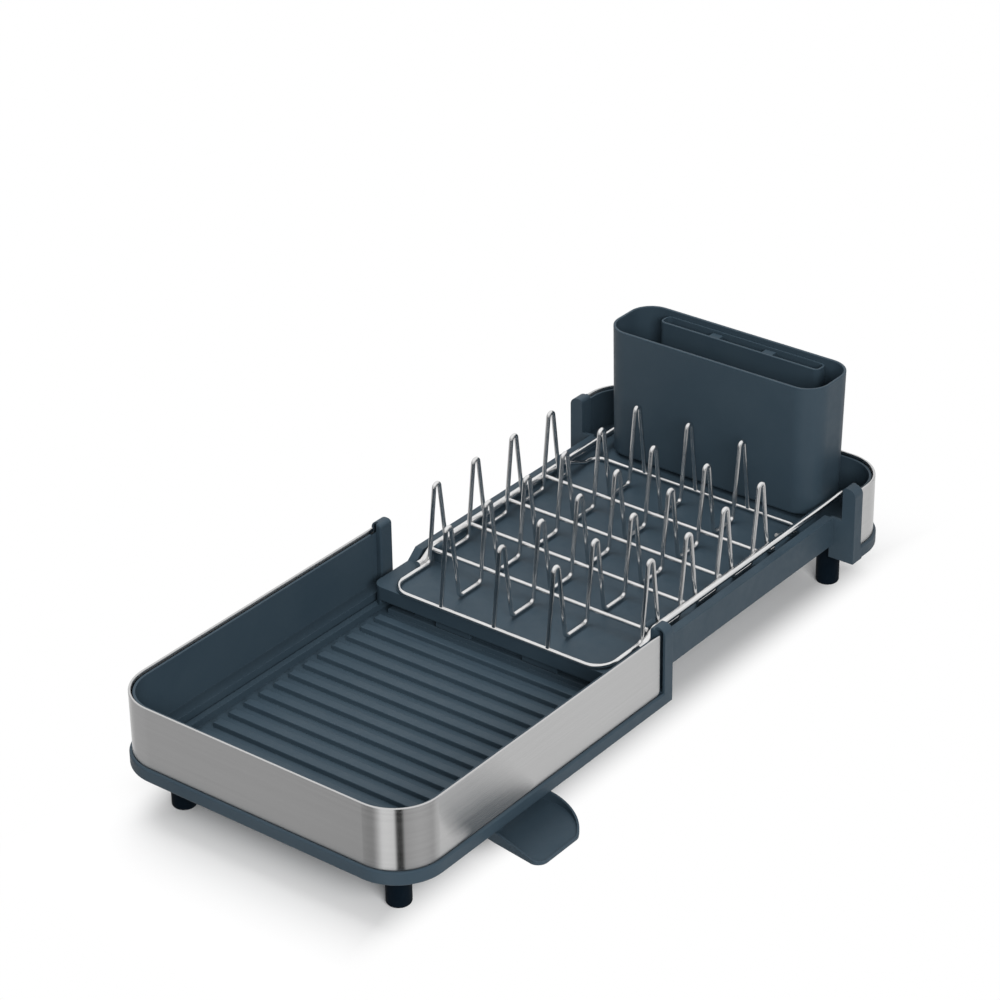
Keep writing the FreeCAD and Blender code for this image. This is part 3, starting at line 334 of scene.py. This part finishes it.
def studio_ring(tree, direction):
    """Grey level of the studio's upright panels, by direction round the rack."""
    radial = tree.nodes.new("ShaderNodeTexGradient")
    radial.gradient_type = "RADIAL"
    tree.links.new(direction, radial.inputs["Vector"])
    ramp = tree.nodes.new("ShaderNodeValToRGB")
    elements = ramp.color_ramp.elements
    for seam in elements:
        seam.color = grey(RING_SEAM)
    for position, value in RING_LEVELS:
        elements.new(position).color = grey(value)
    tree.links.new(radial.outputs["Fac"], ramp.inputs["Fac"])
    return ramp.outputs["Color"]


def add_floor():
    """White floor that keeps the rack's shadow close to the rack, with a painted white glow over the
    shadow farther out, and lets mirrored rays through.
    """
    bpy.ops.mesh.primitive_plane_add(size=FLOOR_SIZE, location=(0, 0, 0))
    floor = bpy.context.object
    floor.name = "floor"
    material = bpy.data.materials.new("floor_white")
    material.use_nodes = True
    tree = material.node_tree
    tree.nodes.clear()
    output = tree.nodes.new("ShaderNodeOutputMaterial")
    place = split_axes(tree, tree.nodes.new("ShaderNodeTexCoord").outputs["Object"])
    from_middle = tree.nodes.new("ShaderNodeMath")
    from_middle.operation = "ABSOLUTE"
    tree.links.new(place["X"], from_middle.inputs[0])
    past_ends = faded(tree, from_middle.outputs[0], GLOW_ENDS)
    past_near_side = faded(tree, place["Y"], GLOW_NEAR_SIDE)
    past_far_side = faded(tree, place["Y"], GLOW_FAR_SIDE)
    shaded = coloured(tree, "ShaderNodeBsdfDiffuse", FLOOR_SEEN)
    # Painted white glow for the camera: it covers the rack's shadow on the floor away from the rack
    glow = coloured(tree, "ShaderNodeEmission", WHITE)
    away = largest(tree, past_ends, past_near_side, past_far_side)
    seen = mixed(tree, away, shaded.outputs[0], glow.outputs[0])
    lit = coloured(tree, "ShaderNodeBsdfDiffuse", FLOOR_LIGHTING)
    direct, mirrored = ray_kinds(tree)
    base = mixed(tree, direct, lit.outputs[0], seen)
    clear = tree.nodes.new("ShaderNodeBsdfTransparent")
    tree.links.new(mixed(tree, mirrored, base, clear.outputs[0]), output.inputs["Surface"])
    floor.data.materials.append(material)


def add_world():
    """White background, soft daylight, and the studio's panels for mirrored rays."""
    world = bpy.data.worlds.new("studio")
    world.use_nodes = True
    tree = world.node_tree
    tree.nodes.clear()
    output = tree.nodes.new("ShaderNodeOutputWorld")
    direction = tree.nodes.new("ShaderNodeTexCoord").outputs["Generated"]
    height = split_axes(tree, direction)["Z"]
    sky = tree.nodes.new("ShaderNodeMapRange")
    set_range(sky, "To", SKY_LEVELS)
    tree.links.new(height, sky.inputs["Value"])
    soft = coloured(tree, "ShaderNodeBackground", WHITE)
    tree.links.new(sky.outputs["Result"], soft.inputs["Strength"])
    ring = tree.nodes.new("ShaderNodeBackground")
    tree.links.new(studio_ring(tree, direction), ring.inputs["Color"])
    overhead = coloured(tree, "ShaderNodeBackground", WHITE)
    above = faded(tree, height, OVERHEAD_HEIGHTS, "LINEAR")
    panels = mixed(tree, above, ring.outputs[0], overhead.outputs[0])
    backdrop = coloured(tree, "ShaderNodeBackground", WHITE)
    direct, mirrored = ray_kinds(tree)
    base = mixed(tree, direct, soft.outputs[0], backdrop.outputs[0])
    tree.links.new(mixed(tree, mirrored, base, panels), output.inputs["Surface"])
    scene.world = world


def add_lamp(name, at, target, size, energy):
    """Soft rectangular lamp that doesn't show in metal."""
    data = bpy.data.lights.new(name, "AREA")
    data.shape = "RECTANGLE"
    data.size, data.size_y = size
    data.energy = energy
    lamp = bpy.data.objects.new(name, data)
    lamp.location = at
    lamp.rotation_euler = (Vector(target) - Vector(at)).to_track_quat("-Z", "Y").to_euler()
    lamp.visible_glossy = False
    scene.collection.objects.link(lamp)


add_floor()
add_world()
add_lamp("key_light", **KEY_LIGHT)
add_lamp("top_light", **TOP_LIGHT)

scene.view_settings.view_transform = "Standard"
